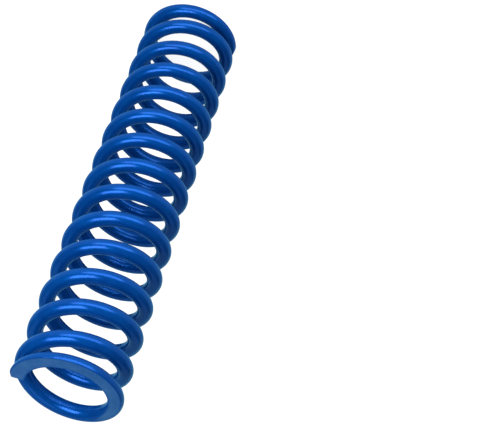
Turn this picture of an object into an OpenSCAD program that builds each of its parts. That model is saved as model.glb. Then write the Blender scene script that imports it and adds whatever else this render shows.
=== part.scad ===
// Coilover spring: one round wire wound right-handed, with both ends closed in and ground flat.
// The coil's axis is +Z, and the origin is the middle of the lower ground end.

/* [Coil] */
// Bore of the coil
inner_d = 63.5; // [50:0.5:90]
// Diameter of the wire
wire_d = 12.8; // [9:0.1:15]
// Length between the ground ends with no load on the spring
free_length = 406.4; // [300:0.1:500]
// Turns of wire from tip to tip
total_turns = 14.5; // [10:0.25:16]

/* [Ends] */
// Rise of the closed end coil in one turn
end_rise = 4.8; // [2:0.1:8]
// Turns over which the closed pitch opens to the full one
blend_turns = 0.55; // [0.2:0.05:0.8]
// Clear gap between a tip and the coil next to it
tip_gap = 2.7; // [0.5:0.1:5]
// Thickness of wire that grinding leaves at a tip
tip_t = 7.3; // [4:0.1:8.5]
// Depth of the bevel on the outer side of a tip
bevel_d = 2.5; // [0.5:0.1:4]
// Length of that bevel along the wire
bevel_l = 10; // [4:0.5:20]

/* [Facets] */
// Straight lengths in one turn
turn_steps = 28; // [16:4:28]
// Sides of the wire's section
wire_sides = 14; // [8:2:14]

/* [Hidden] */
coat_blue = [0.02, 0.25, 0.56];
full_turn = 360;
wire_r = wire_d / 2;
coil_r = (inner_d + wire_d) / 2;
outer_r = inner_d / 2 + wire_d;
coil_round = 2 * PI * coil_r;
steps = ceil(turn_steps * total_turns);
// Height of the wire's centre over the ground end, at a tip
tip_z = tip_t - wire_r;
// Length that is left to the open pitch, over the closed rise that all turns share
open_length = free_length - 2 * tip_z - end_rise * total_turns;
// Lift of the second turn over the closed rise, so that it clears the tip under it
second_lift = wire_d + tip_gap - end_rise;
// Turns that each end keeps closed, counted as if the pitch opened at once
closed_turns = (open_length - second_lift * total_turns) / (open_length - 2 * second_lift);
open_pitch = open_length / (total_turns - 2 * closed_turns);
blend = min(blend_turns, 2 * closed_turns, 2 * (1 - closed_turns));
blend_start = closed_turns - blend / 2;
// Height that a tip's cutters reach, half way into the gap over the tip
cutter_h = tip_t + tip_gap / 2;

// Rise that the open pitch adds, n turns in from a tip.
function opened(n) =
    let (past = n - blend_start)
    past <= 0 ? 0
    : past < blend ? open_pitch * past * past / (2 * blend)
    : open_pitch * (past - blend / 2);

// Pitch of the wire, n turns in from a tip.
function pitch(n) = end_rise + open_pitch * min(1, max(0, (n - blend_start) / blend));

// Turns from the point n to the nearer of the two tips.
function to_tip(n) = min(n, total_turns - n);

// Height of the wire's centre, n turns up from the lower tip.
function centre_z(n) =
    let (rise = tip_z + end_rise * to_tip(n) + opened(to_tip(n)))
    n < total_turns / 2 ? rise : free_length - rise;

// Corners of the wire's round section, square to the wire, n turns up from the lower tip.
function section(n) =
    let (tilt = atan(pitch(to_tip(n)) / coil_round), turned = full_turn * n)
    [for (side = [0 : wire_sides - 1])
        let (round = full_turn * side / wire_sides)
        let (out = coil_r + wire_r * cos(round))
        let (back = wire_r * sin(round) * sin(tilt))
        let (up = wire_r * sin(round) * cos(tilt))
        [out * cos(turned) + back * sin(turned), out * sin(turned) - back * cos(turned), centre_z(n) + up]];

// Number of one corner of the swept wire, with the sides counted round and round.
function corner(step, side) = step * wire_sides + side % wire_sides;

// Wire swept along the whole coil, before its ends are ground.
module wound_wire() {
    corners = [for (step = [0 : steps]) each section(total_turns * step / steps)];
    skin = [for (step = [0 : steps - 1], side = [0 : wire_sides - 1]) each [
        [corner(step, side), corner(step, side + 1), corner(step + 1, side)],
        [corner(step, side + 1), corner(step + 1, side + 1), corner(step + 1, side)]]];
    lower_cut = [for (side = [wire_sides - 1 : -1 : 0]) corner(0, side)];
    upper_cut = [for (side = [0 : wire_sides - 1]) corner(steps, side)];
    polyhedron(points = corners, faces = concat(skin, [lower_cut, upper_cut]), convexity = steps);
}

// The same thing at both ends: the upper end is the lower one turned over on to its own tip.
module at_each_end() {
    children();
    translate([0, 0, free_length]) rotate([0, 0, full_turn * total_turns]) rotate([full_turn / 2, 0, 0])
        children();
}

// All that the grinding wheel takes off the lower end.
module ground_off() {
    translate([-2 * outer_r, -2 * outer_r, -2 * wire_d])
        cube([4 * outer_r, 4 * outer_r, 2 * wire_d]);
}

// Wedge that comes off the outer side of the lower tip.
module bevelled_off() {
    translate([outer_r - bevel_d, 0, -wire_d]) rotate([0, 0, -atan(bevel_d / bevel_l)])
        translate([0, -wire_d, 0])
            cube([wire_d, wire_d + 2 * bevel_l, wire_d + cutter_h]);
}

// The spring, one length of wire with both ends ground and their tips bevelled.
module coil_spring() {
    color(coat_blue) difference() {
        wound_wire();
        at_each_end() {
            ground_off();
            bevelled_off();
        }
    }
}

coil_spring();
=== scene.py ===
"""The looks of a coilover spring: a gloss blue coil of round wire with closed, ground ends.

Sizes are in metres unless a name ends in _mm, and every piece is in the frame of the CAD model.
"""

import logging
import math
from dataclasses import dataclass
from enum import Enum
from typing import Any

import bpy
import numpy as np
from mathutils import Matrix, Vector


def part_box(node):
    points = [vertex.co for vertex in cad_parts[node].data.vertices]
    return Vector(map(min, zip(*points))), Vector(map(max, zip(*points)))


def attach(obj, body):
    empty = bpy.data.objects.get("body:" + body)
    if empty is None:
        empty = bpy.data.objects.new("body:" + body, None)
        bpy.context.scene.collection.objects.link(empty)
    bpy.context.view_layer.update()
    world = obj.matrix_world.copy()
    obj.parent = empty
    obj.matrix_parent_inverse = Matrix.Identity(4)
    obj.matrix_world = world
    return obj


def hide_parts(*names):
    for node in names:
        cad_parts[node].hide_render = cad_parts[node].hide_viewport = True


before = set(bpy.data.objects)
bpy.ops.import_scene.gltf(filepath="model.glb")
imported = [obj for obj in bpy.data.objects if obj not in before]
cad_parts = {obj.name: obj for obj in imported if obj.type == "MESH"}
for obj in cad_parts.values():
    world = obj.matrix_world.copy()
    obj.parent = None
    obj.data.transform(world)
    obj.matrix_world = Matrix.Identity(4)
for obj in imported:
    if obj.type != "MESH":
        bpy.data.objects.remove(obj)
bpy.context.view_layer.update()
LOG = logging.getLogger("coilover_spring")
MM = 0.001
# Radians that a diagonal wave texture runs through as x + y + z grows by one, at a scale of 1.
WAVE_RATE = 10
# Past this power, an eased edge is the same as a sharp one.
MOST_POWER = 40


class Hand(Enum):
    """The way that the wire climbs, seen from the coil's outside."""

    RIGHT = 1
    LEFT = -1


class LampShape(Enum):
    """The outline of a lamp's diffuser."""

    SQUARE_CORNERS = "RECTANGLE"
    ROUNDED = "ELLIPSE"


def linear(hex_colour: str) -> tuple[float, float, float, float]:
    """Turns an sRGB hex colour to linear light.

    Args:
        hex_colour: Six hex digits, with or without the leading hash.

    Returns:
        Red, green, blue and an alpha of 1.
    """
    digits = hex_colour.lstrip("#")
    parts = [int(digits[i : i + 2], 16) / 255 for i in (0, 2, 4)]
    return (*[p / 12.92 if p <= 0.04045 else ((p + 0.055) / 1.055) ** 2.4 for p in parts], 1.0)


def add_node(
    tree: bpy.types.NodeTree,
    kind: str,
    settings: dict[str, Any] | None = None,
    inputs: dict[str | int, Any] | None = None,
) -> bpy.types.Node:
    """Adds a node with its settings, socket values and links.

    Args:
        tree: The node tree that takes it.
        kind: The node's type name in Blender.
        settings: Its properties by name.
        inputs: Its sockets by name or number; an output socket is linked, and any other value
            is set.

    Returns:
        The new node.
    """
    node = tree.nodes.new(kind)
    for name, value in (settings or {}).items():
        setattr(node, name, value)
    for key, value in (inputs or {}).items():
        if isinstance(value, bpy.types.NodeSocket):
            tree.links.new(value, node.inputs[key])
        else:
            node.inputs[key].default_value = value
    return node


def add_noise(
    tree: bpy.types.NodeTree,
    place: bpy.types.NodeSocket,
    size_mm: float,
    detail: float,
    breakup: float,
) -> bpy.types.NodeSocket:
    """Adds a soft random pattern.

    Args:
        tree: The node tree that takes it.
        place: Where each point lies.
        size_mm: The size of one patch.
        detail: The number of finer layers.
        breakup: The strength of each finer layer.

    Returns:
        The pattern's value.
    """
    inputs = {"Vector": place, "Scale": 1 / (size_mm * MM), "Detail": detail, "Roughness": breakup}
    return add_node(tree, "ShaderNodeTexNoise", inputs=inputs).outputs["Fac"]


def add_mix(
    tree: bpy.types.NodeTree, share: bpy.types.NodeSocket, first: Any, second: Any
) -> bpy.types.NodeSocket:
    """Adds a blend of two colours.

    Args:
        tree: The node tree that takes it.
        share: The share of the second colour.
        first: The first colour, or a socket that gives it.
        second: The second colour, or a socket that gives it.

    Returns:
        The blended colour.
    """
    inputs = {"Factor": share, "A": first, "B": second}
    return add_node(tree, "ShaderNodeMix", {"data_type": "RGBA"}, inputs).outputs["Result"]


def empty_material(name: str) -> bpy.types.Material:
    """Makes a node material with no nodes in it.

    Args:
        name: The material's name.

    Returns:
        The material.
    """
    material = bpy.data.materials.new(name)
    material.use_nodes = True
    material.node_tree.nodes.clear()
    return material


@dataclass(frozen=True)
class GlossPowderCoat:
    """Gloss polyester powder, sprayed and baked on shot-peened spring steel.

    To the eye it is one deep, saturated blue. The metallic share gives it a soft-edged blue shine,
    the rim tint turns that cool at the edges, and the clear top lays a paler streak over it. The
    film has the slight wave of orange peel, and is a shade deeper where it flowed thicker. On the
    ground ends it lies thinner, so it is paler and greyer there.
    """

    thick_film: str = "#003C86"
    thin_film: str = "#004592"
    ground_thick: str = "#22508E"
    ground_thin: str = "#38629C"
    metallic: float = 0.4
    rim_tint: str = "#40F4FF"
    roughness_low: float = 0.24
    roughness_high: float = 0.28
    top_gloss: float = 0.13
    top_roughness: float = 0.15
    film_patch_mm: float = 14.0
    film_detail: float = 3.0
    film_breakup: float = 0.55
    film_low: float = 0.3
    film_high: float = 0.7
    haze_mm: float = 5.0
    haze_detail: float = 2.0
    haze_breakup: float = 0.5
    peel_mm: float = 2.4
    peel_detail: float = 1.0
    peel_breakup: float = 0.4
    peel_height_mm: float = 0.005
    # Real grinding lines are about 0.2 mm apart, too fine to show, so they are drawn coarser:
    # x + y grows by this step from line to line, which sets them 1.3 mm apart.
    grind_step_mm: float = 1.8
    grind_waver: float = 2.0
    grind_height_mm: float = 0.006

    def material(self, ground_mask: str) -> bpy.types.Material:
        """Builds the coat's material.

        Args:
            ground_mask: The mesh attribute that is 1 on the ground faces.

        Returns:
            The material.
        """
        material = empty_material("gloss_powder_coated_steel")
        tree = material.node_tree
        place = add_node(tree, "ShaderNodeTexCoord").outputs["Object"]
        ground = add_node(
            tree, "ShaderNodeAttribute", {"attribute_name": ground_mask}
        ).outputs["Fac"]

        film = add_noise(tree, place, self.film_patch_mm, self.film_detail, self.film_breakup)
        thin = add_node(
            tree, "ShaderNodeMapRange",
            inputs={"Value": film, "From Min": self.film_low, "From Max": self.film_high},
        ).outputs["Result"]
        wound = add_mix(tree, thin, linear(self.thick_film), linear(self.thin_film))
        flat = add_mix(tree, thin, linear(self.ground_thick), linear(self.ground_thin))
        colour = add_mix(tree, ground, wound, flat)

        haze = add_noise(tree, place, self.haze_mm, self.haze_detail, self.haze_breakup)
        shine = add_node(
            tree, "ShaderNodeMapRange",
            inputs={"Value": haze, "To Min": self.roughness_low, "To Max": self.roughness_high},
        ).outputs["Result"]

        peel = add_noise(tree, place, self.peel_mm, self.peel_detail, self.peel_breakup)
        peeled = add_node(
            tree, "ShaderNodeBump", inputs={"Distance": self.peel_height_mm * MM, "Height": peel}
        ).outputs["Normal"]
        lines = add_node(
            tree, "ShaderNodeTexWave", {"wave_type": "BANDS", "bands_direction": "DIAGONAL"},
            {
                "Vector": place, "Distortion": self.grind_waver,
                "Scale": 2 * math.pi / (WAVE_RATE * self.grind_step_mm * MM),
            },
        ).outputs["Fac"]
        scored = add_node(
            tree, "ShaderNodeMath", {"operation": "MULTIPLY"}, {0: lines, 1: ground}
        ).outputs["Value"]
        normal = add_node(
            tree, "ShaderNodeBump",
            inputs={"Distance": self.grind_height_mm * MM, "Height": scored, "Normal": peeled},
        ).outputs["Normal"]

        # The clear top mirrors the room, and the film under it has no white shine of its own.
        coat = add_node(
            tree, "ShaderNodeBsdfPrincipled",
            inputs={
                "Base Color": colour, "Metallic": self.metallic, "Roughness": shine,
                "Normal": normal, "Specular IOR Level": 0.0,
                "Specular Tint": linear(self.rim_tint), "Coat Weight": self.top_gloss,
                "Coat Roughness": self.top_roughness, "Coat Normal": normal,
            },
        )
        add_node(tree, "ShaderNodeOutputMaterial", inputs={"Surface": coat.outputs["BSDF"]})
        return material


@dataclass(frozen=True)
class MattWhiteBoard:
    """Matt white painted board: an even pale floor that takes soft shadows and has no shine.

    Its own paint is a mid grey, so that it throws little light back on the coil, and it is lifted
    to white where it is seen or mirrored.
    """

    paint: str = "#9A9A9A"
    lift: float = 0.88

    def material(self) -> bpy.types.Material:
        """Builds the floor's material, lifted to white where it is seen or mirrored.

        Returns:
            The material.
        """
        material = empty_material("matt_white_board")
        tree = material.node_tree
        ray = add_node(tree, "ShaderNodeLightPath").outputs
        seen = add_node(
            tree, "ShaderNodeMath", {"operation": "ADD"},
            {0: ray["Is Camera Ray"], 1: ray["Is Glossy Ray"]},
        )
        shown = add_node(
            tree, "ShaderNodeMath", {"operation": "ADD", "use_clamp": True},
            {0: seen.outputs["Value"], 1: ray["Is Transmission Ray"]},
        )
        glow = add_node(
            tree, "ShaderNodeMath", {"operation": "MULTIPLY"},
            {0: shown.outputs["Value"], 1: self.lift},
        )
        paint = add_node(tree, "ShaderNodeBsdfDiffuse", inputs={"Color": linear(self.paint)})
        lifted = add_node(tree, "ShaderNodeEmission", inputs={"Strength": glow.outputs["Value"]})
        both = add_node(
            tree, "ShaderNodeAddShader",
            inputs={0: paint.outputs["BSDF"], 1: lifted.outputs["Emission"]},
        )
        add_node(tree, "ShaderNodeOutputMaterial", inputs={"Surface": both.outputs["Shader"]})
        return material


@dataclass
class CoilPath:
    """The wire's centre line: a small lead in the closed ends, which opens into an even pitch.

    Turns are counted from the lower tip, and both ends are alike.
    """

    outer_r: float
    free_length: float
    wire_d: float = 12.8 * MM
    total_turns: float = 14.5
    end_rise: float = 4.8 * MM
    blend_turns: float = 0.55
    tip_gap: float = 2.7 * MM
    tip_t: float = 7.3 * MM
    hand: Hand = Hand.RIGHT

    @property
    def wire_r(self) -> float:
        """The wire's radius."""
        return self.wire_d / 2

    @property
    def coil_r(self) -> float:
        """The coil's radius at the wire's centre."""
        return self.outer_r - self.wire_r

    @property
    def tip_z(self) -> float:
        """How far the wire's centre lies inside the ground face at a tip."""
        return self.tip_t - self.wire_r

    @property
    def open_length(self) -> float:
        """The rise that the closed lead leaves to the open coils."""
        return self.free_length - 2 * self.tip_z - self.end_rise * self.total_turns

    @property
    def closed_turns(self) -> float:
        """The turns from a tip to the middle of its blend, which set the gap behind that tip."""
        lift = self.wire_d + self.tip_gap - self.end_rise
        return (self.open_length - lift * self.total_turns) / (self.open_length - 2 * lift)

    @property
    def open_pitch(self) -> float:
        """What an open turn climbs above the closed lead."""
        return self.open_length / (self.total_turns - 2 * self.closed_turns)

    def to_tip(self, turns: np.ndarray) -> np.ndarray:
        """The turns from each place to the nearer tip."""
        return np.minimum(turns, self.total_turns - turns)

    def blended(self, from_tip: np.ndarray) -> tuple[np.ndarray, np.ndarray, float]:
        """Finds how far into the blend each place is.

        Args:
            from_tip: Turns from the nearer tip.

        Returns:
            The share of the blend that is passed, the turns past its start, and its length in
            turns.
        """
        blend = min(self.blend_turns, 2 * self.closed_turns, 2 * (1 - self.closed_turns))
        past = from_tip - (self.closed_turns - blend / 2)
        return np.clip(past / blend, 0, 1), past, blend

    def slope(self, turns: np.ndarray) -> np.ndarray:
        """Finds the wire's climb.

        Args:
            turns: Turns from the lower tip.

        Returns:
            The wire's angle to the coil's plane, in radians.
        """
        share, _, _ = self.blended(self.to_tip(turns))
        return np.arctan((self.end_rise + self.open_pitch * share) / (2 * math.pi * self.coil_r))

    def height(self, turns: np.ndarray) -> np.ndarray:
        """Finds the height of the wire's centre.

        Args:
            turns: Turns from the lower tip.

        Returns:
            Heights above the lower ground face.
        """
        from_tip = self.to_tip(turns)
        share, past, blend = self.blended(from_tip)
        opened = self.open_pitch * np.where(share < 1, share * share * blend / 2, past - blend / 2)
        rise = self.tip_z + self.end_rise * from_tip + opened
        return np.where(turns < self.total_turns / 2, rise, self.free_length - rise)


@dataclass
class WireSection:
    """The wire's cross-section: round along the coil, and ground to a flat near the ends.

    A section is drawn in its own plane, with its first axis across the flat and its second towards
    it. Each ring has the same points, so where there is no flat, its points lie on the round.
    """

    wire_r: float
    edge_r: float = 0.45 * MM
    arc_points: int = 36
    edge_points: int = 4
    flat_points: int = 7
    # Half the angle that the flat's points span at least, the angle that each edge's points span
    # beside them, and the angle over which a growing flat gets its rounded edges.
    least_angle: float = math.radians(9)
    edge_angle: float = math.radians(4)
    fade_angle: float = math.radians(10)

    @property
    def points(self) -> int:
        """The points round one section."""
        return self.arc_points + 2 * self.edge_points + self.flat_points

    def draw(self, reach: np.ndarray) -> tuple[np.ndarray, np.ndarray, np.ndarray]:
        """Draws a section for each ring of the sweep.

        Args:
            reach: Each ring's distance from the wire's centre to the grinding plane.

        Returns:
            Points and outward normals, each ring by point by two, and each point's share of
            ground face.
        """
        r = self.wire_r
        reach = np.minimum(reach, r)[:, None]
        corner = np.arccos(reach / r)
        inner = np.maximum(corner, self.least_angle)
        outer = inner + self.edge_angle
        across = np.linspace(-1, 1, self.flat_points + 2)[None, 1:-1]
        along = np.linspace(0, 1, self.edge_points)[None, :]
        round_share = np.linspace(0, 1, self.arc_points + 2)[None, 1:-1]

        def ring(flat: np.ndarray, edge: np.ndarray, arc: np.ndarray) -> np.ndarray:
            """Joins a flat, an edge, an arc and the edge's mirror image into one ring."""
            mirrored = edge[:, ::-1] * np.array([-1, 1])
            return np.concatenate([flat, edge, arc, mirrored], axis=1)

        def polar(angle: np.ndarray) -> np.ndarray:
            """Unit vectors at an angle from the flat's direction."""
            return np.stack([np.sin(angle), np.cos(angle)], axis=-1)

        sharp_n = ring(
            polar(inner * across), polar(inner + self.edge_angle * along),
            polar(outer + (2 * math.pi - 2 * outer) * round_share),
        )
        sharp = r * sharp_n
        below = sharp[..., 1] > reach
        sharp[..., 1] = np.minimum(sharp[..., 1], reach)
        sharp_n = np.where(below[..., None], np.array([0.0, 1.0]), sharp_n)

        f = self.edge_r
        centre_q = reach - f
        centre_s = np.sqrt(np.maximum((r - f) ** 2 - centre_q**2, 0))
        start = np.arctan2(centre_s, centre_q)
        flat = np.stack(np.broadcast_arrays(centre_s * across, reach), axis=-1)
        edge_n = polar(start * along)
        edge = np.stack([centre_s, centre_q], axis=-1) + f * edge_n
        arc_n = polar(start + (2 * math.pi - 2 * start) * round_share)
        soft = ring(flat, edge, r * arc_n)
        soft_n = ring(np.broadcast_to([0.0, 1.0], flat.shape), edge_n, arc_n)

        share = np.clip((corner - self.least_angle) / self.fade_angle, 0, 1)[..., None]
        points = sharp + share * (soft - sharp)
        normals = sharp_n + share * (soft_n - sharp_n)
        normals /= np.linalg.norm(normals, axis=-1, keepdims=True)
        on_flat = np.zeros((1, self.points))
        on_flat[:, : self.flat_points] = 1
        return points, normals, share[..., 0] * on_flat


@dataclass
class CoilSpring:
    """The whole spring: one wire, coiled, closed and ground square at both ends."""

    path: CoilPath
    section: WireSection
    coat: GlossPowderCoat
    name: str = "powder_coated_coil"
    bevel_d: float = 2.5 * MM
    bevel_l: float = 10 * MM
    bevel_reach: float = math.radians(30)
    bevel_edge: float = 0.25 * MM
    tip_edge_r: float = 0.5 * MM
    still_turns: float = 1.5
    rings_per_turn: int = 96
    tip_rings: int = 5
    ground_mask: str = "ground_face"

    def rings(self) -> tuple[np.ndarray, np.ndarray]:
        """Places the rings of the sweep.

        Returns:
            Turns from the lower tip, and each ring's angle round the tip's edge, from 0 at the cut
            to a right angle on the wire.
        """
        quarter = np.linspace(0, math.pi / 2, self.tip_rings)
        tip = self.tip_edge_r * (1 - np.cos(quarter)) / (2 * math.pi * self.path.coil_r)
        total = self.path.total_turns
        count = round(total * self.rings_per_turn)
        body = np.linspace(tip[-1], total - tip[-1], count)
        turns = np.concatenate([tip[:-1], body, total - tip[-2::-1]])
        edge = np.concatenate([quarter[:-1], np.full(count, math.pi / 2), quarter[-2::-1]])
        return turns, edge

    def sweep(self) -> tuple[np.ndarray, np.ndarray, np.ndarray]:
        """Sweeps the section along the wire.

        Returns:
            Points and outward normals, each ring by point by three, and each point's share of
            ground face.
        """
        path = self.path
        turns, edge = self.rings()
        slope, height = path.slope(turns), path.height(turns)
        lower = turns < path.total_turns / 2
        reach = np.where(lower, height, path.free_length - height) / np.cos(slope)
        flat, flat_n, ground = self.section.draw(reach)
        flat = flat - flat_n * (self.tip_edge_r * (1 - np.sin(edge)))[:, None, None]

        # The flat's direction turns over slowly along the coil, from the lower end's down to the
        # upper end's up. It stays as it is over the turns that can be ground.
        turning = path.total_turns - 2 * self.still_turns
        share = np.clip((turns - self.still_turns) / turning, 0, 1)
        lean = (math.pi * (share - 0.5))[:, None]

        def upright(pair: np.ndarray) -> tuple[np.ndarray, np.ndarray]:
            """Turns a section's pairs to outward and upward parts."""
            s, q = pair[..., 0], pair[..., 1]
            return q * np.cos(lean) - s * np.sin(lean), q * np.sin(lean) + s * np.cos(lean)

        out, up = upright(flat)
        out_n, up_n = upright(flat_n)
        along_n = np.zeros_like(out_n)

        # The tips' outer corners are bevelled by a plane; its edges are eased.
        run = 2 * math.pi * path.to_tip(turns)
        back = self.bevel_d / self.bevel_l
        near = run < self.bevel_reach
        lean_in = np.cos(run * near) - back * np.sin(run * near)
        limit = np.where(near, (path.outer_r - self.bevel_d) / lean_in, np.inf)
        over = (path.coil_r + out - limit[:, None]) / self.bevel_edge
        over = np.clip(over, -MOST_POWER, MOST_POWER)
        out -= self.bevel_edge * np.log1p(np.exp(over))
        cut = 1 / (1 + np.exp(-over))
        side = np.where(lower, -1, 1)[:, None]
        plane = np.hypot(1, back)
        out_n += cut * ((np.cos(run) - back * np.sin(run))[:, None] / plane - out_n)
        up_n -= cut * up_n
        along_n += cut * side * (np.sin(run) + back * np.cos(run))[:, None] / plane

        # The tips' cut faces have a small rounded edge.
        ease, face = np.sin(edge)[:, None], np.cos(edge)[:, None]
        out_n, up_n, along_n = ease * out_n, ease * up_n, ease * along_n + face * side

        angle = 2 * math.pi * turns * path.hand.value
        zero = np.zeros_like(angle)
        radial = np.stack([np.cos(angle), np.sin(angle), zero], axis=-1)[:, None]
        level = path.hand.value * np.stack([-np.sin(angle), np.cos(angle), zero], axis=-1)[:, None]
        axis = np.array([0.0, 0.0, 1.0])
        rise, level_part = np.sin(slope)[:, None, None], np.cos(slope)[:, None, None]
        tangent = level_part * level + rise * axis
        upward = level_part * axis - rise * level
        centre = path.coil_r * radial + height[:, None, None] * axis
        points = centre + out[..., None] * radial + up[..., None] * upward
        normals = out_n[..., None] * radial + up_n[..., None] * upward
        normals = normals + along_n[..., None] * tangent
        normals /= np.linalg.norm(normals, axis=-1, keepdims=True)
        return points, normals, ground

    def build(self) -> bpy.types.Object:
        """Builds the coil's mesh and puts it in place of its CAD node.

        Returns:
            The coil.
        """
        points, normals, ground = self.sweep()
        count, sides = points.shape[:2]
        ring, point = np.meshgrid(np.arange(count - 1), np.arange(sides), indexing="ij")
        following = (point + 1) % sides
        quads = np.stack(
            [ring * sides + point, ring * sides + following,
             (ring + 1) * sides + following, (ring + 1) * sides + point], axis=-1,
        ).reshape(-1, 4)
        if self.path.hand is Hand.RIGHT:
            quads = quads[:, ::-1]
        first, last = list(range(sides)), [(count - 1) * sides + i for i in range(sides)]
        caps = [first, last[::-1]] if self.path.hand is Hand.RIGHT else [first[::-1], last]
        mesh = bpy.data.meshes.new(self.name)
        mesh.from_pydata(points.reshape(-1, 3).tolist(), [], quads.tolist() + caps)
        mask = mesh.attributes.new(self.ground_mask, "FLOAT", "POINT")
        mask.data.foreach_set("value", ground.reshape(-1).astype(np.float32))
        mesh.shade_smooth()
        mesh.normals_split_custom_set_from_vertices(normals.reshape(-1, 3).tolist())
        mesh.validate(clean_customdata=False)
        coil = bpy.data.objects.new(self.name, mesh)
        bpy.context.scene.collection.objects.link(coil)
        self.dress(coil)
        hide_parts("coil_spring")
        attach(coil, "root")
        return coil

    def dress(self, coil: bpy.types.Object) -> None:
        """Gives the coil its coat.

        Args:
            coil: The coil's object.
        """
        coil.data.materials.append(self.coat.material(self.ground_mask))


def facing(
    place: tuple[float, float, float], aim: tuple[float, float, float], turn_deg: float
) -> Matrix:
    """Finds how a lamp or a camera is set up.

    Args:
        place: Where it stands.
        aim: The point that it faces.
        turn_deg: Its turn about the line to that point.

    Returns:
        Its world matrix.
    """
    look = (Vector(aim) - Vector(place)).to_track_quat("-Z", "Y").to_matrix().to_4x4()
    turn = Matrix.Rotation(math.radians(turn_deg), 4, "Z")
    return Matrix.Translation(place) @ look @ turn


@dataclass
class Lamp:
    """A soft studio lamp with a flat diffuser."""

    name: str
    place: tuple[float, float, float]
    aim: tuple[float, float, float]
    size: tuple[float, float]
    watts: float
    shape: LampShape = LampShape.SQUARE_CORNERS
    turn_deg: float = 0.0

    def build(self) -> bpy.types.Object:
        """Hangs the lamp where the camera can't see it.

        Returns:
            The lamp.
        """
        data = bpy.data.lights.new(self.name, "AREA")
        data.shape = self.shape.value
        data.size, data.size_y = self.size
        data.energy = self.watts
        lamp = bpy.data.objects.new(self.name, data)
        lamp.matrix_world = facing(self.place, self.aim, self.turn_deg)
        lamp.visible_camera = False
        bpy.context.scene.collection.objects.link(lamp)
        return lamp


@dataclass
class Viewpoint:
    """Where the camera stands, what it looks at and how it is held."""

    place: tuple[float, float, float] = (0.07403, 0.82963, 0.88766)
    aim: tuple[float, float, float] = (0.08933, 0.01752, 0.2032)
    roll_deg: float = -164.375
    lens_mm: float = 94.508
    sensor_mm: float = 36.0

    def build(self) -> bpy.types.Object:
        """Sets up the camera and makes it the scene's own.

        Returns:
            The camera.
        """
        data = bpy.data.cameras.new("viewpoint")
        data.lens, data.sensor_width = self.lens_mm, self.sensor_mm
        camera = bpy.data.objects.new("viewpoint", data)
        camera.matrix_world = facing(self.place, self.aim, self.roll_deg)
        bpy.context.scene.collection.objects.link(camera)
        bpy.context.scene.camera = camera
        return camera


@dataclass
class Studio:
    """The pale floor and the light round the spring."""

    lamps: tuple[Lamp, ...]
    board: MattWhiteBoard
    floor_r: float = 60.0
    floor_rings: int = 6
    floor_sides: int = 64
    room_colour: str = "#FFFFFF"
    room_light: float = 0.25

    def floor(self) -> bpy.types.Object:
        """Lays the floor under the spring.

        Returns:
            The floor.
        """
        angles = np.linspace(0, 2 * math.pi, self.floor_sides, endpoint=False)
        radii = self.floor_r * np.linspace(0, 1, self.floor_rings + 1)[1:] ** 2
        points = [(0.0, 0.0, 0.0)]
        points += [(r * math.cos(a), r * math.sin(a), 0.0) for r in radii for a in angles]
        sides = self.floor_sides
        faces: list[list[int]] = [[0, 1 + i, 1 + (i + 1) % sides] for i in range(sides)]
        for k in range(self.floor_rings - 1):
            inner, outer = 1 + k * sides, 1 + (k + 1) * sides
            faces += [
                [inner + i, outer + i, outer + (i + 1) % sides, inner + (i + 1) % sides]
                for i in range(sides)
            ]
        mesh = bpy.data.meshes.new("studio_floor")
        mesh.from_pydata(points, [], faces)
        mesh.materials.append(self.board.material())
        floor = bpy.data.objects.new("studio_floor", mesh)
        bpy.context.scene.collection.objects.link(floor)
        return floor

    def room(self) -> bpy.types.World:
        """Fills the room with a dim even light.

        Returns:
            The world.
        """
        world = bpy.data.worlds.new("studio_room")
        world.use_nodes = True
        tree = world.node_tree
        tree.nodes.clear()
        air = add_node(
            tree, "ShaderNodeBackground",
            inputs={"Color": linear(self.room_colour), "Strength": self.room_light},
        )
        add_node(tree, "ShaderNodeOutputWorld", inputs={"Surface": air.outputs["Background"]})
        bpy.context.scene.world = world
        return world

    def build(self) -> bpy.types.Object:
        """Sets up the floor, the room and the lamps.

        Returns:
            The floor.
        """
        self.room()
        for lamp in self.lamps:
            lamp.build()
            LOG.info("lamp %s: %.1f W", lamp.name, lamp.watts)
        bpy.context.scene.view_settings.view_transform = "Standard"
        return self.floor()


def main() -> None:
    """Builds the camera, the spring and the studio in order."""
    logging.basicConfig(level=logging.INFO, format="%(name)s: %(message)s")
    camera = Viewpoint().build()
    LOG.info("camera %s: %.1f mm lens", camera.name, camera.data.lens)

    low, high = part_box("coil_spring")
    path = CoilPath(outer_r=high.x, free_length=high.z - low.z)
    coil = CoilSpring(path, WireSection(path.wire_r), GlossPowderCoat()).build()
    LOG.info("piece %s: %d faces", coil.name, len(coil.data.polygons))

    middle = (0.0, 0.0, path.free_length / 2)
    lamps = (
        Lamp(
            "front_softbox", place=(0.06, 0.85, 0.22), aim=(0.06, 0.0, 0.22),
            size=(1.3, 0.42), watts=9.4, turn_deg=2.0,
        ),
        Lamp(
            "key_softbox", place=(-0.33, 0.505, 0.869), aim=middle, size=(0.6, 0.42), watts=7.6
        ),
        Lamp(
            "ceiling_soft", place=(0.2, -0.2, 1.8), aim=middle,
            size=(1.0, 1.0), watts=3.0, shape=LampShape.ROUNDED,
        ),
        Lamp("back_bounce", place=(0.0, -0.95, 0.75), aim=middle, size=(1.8, 1.3), watts=3.6),
    )
    floor = Studio(lamps, MattWhiteBoard()).build()
    LOG.info("stage %s: %.1f m across", floor.name, floor.dimensions.x)


if __name__ == "__main__":
    main()
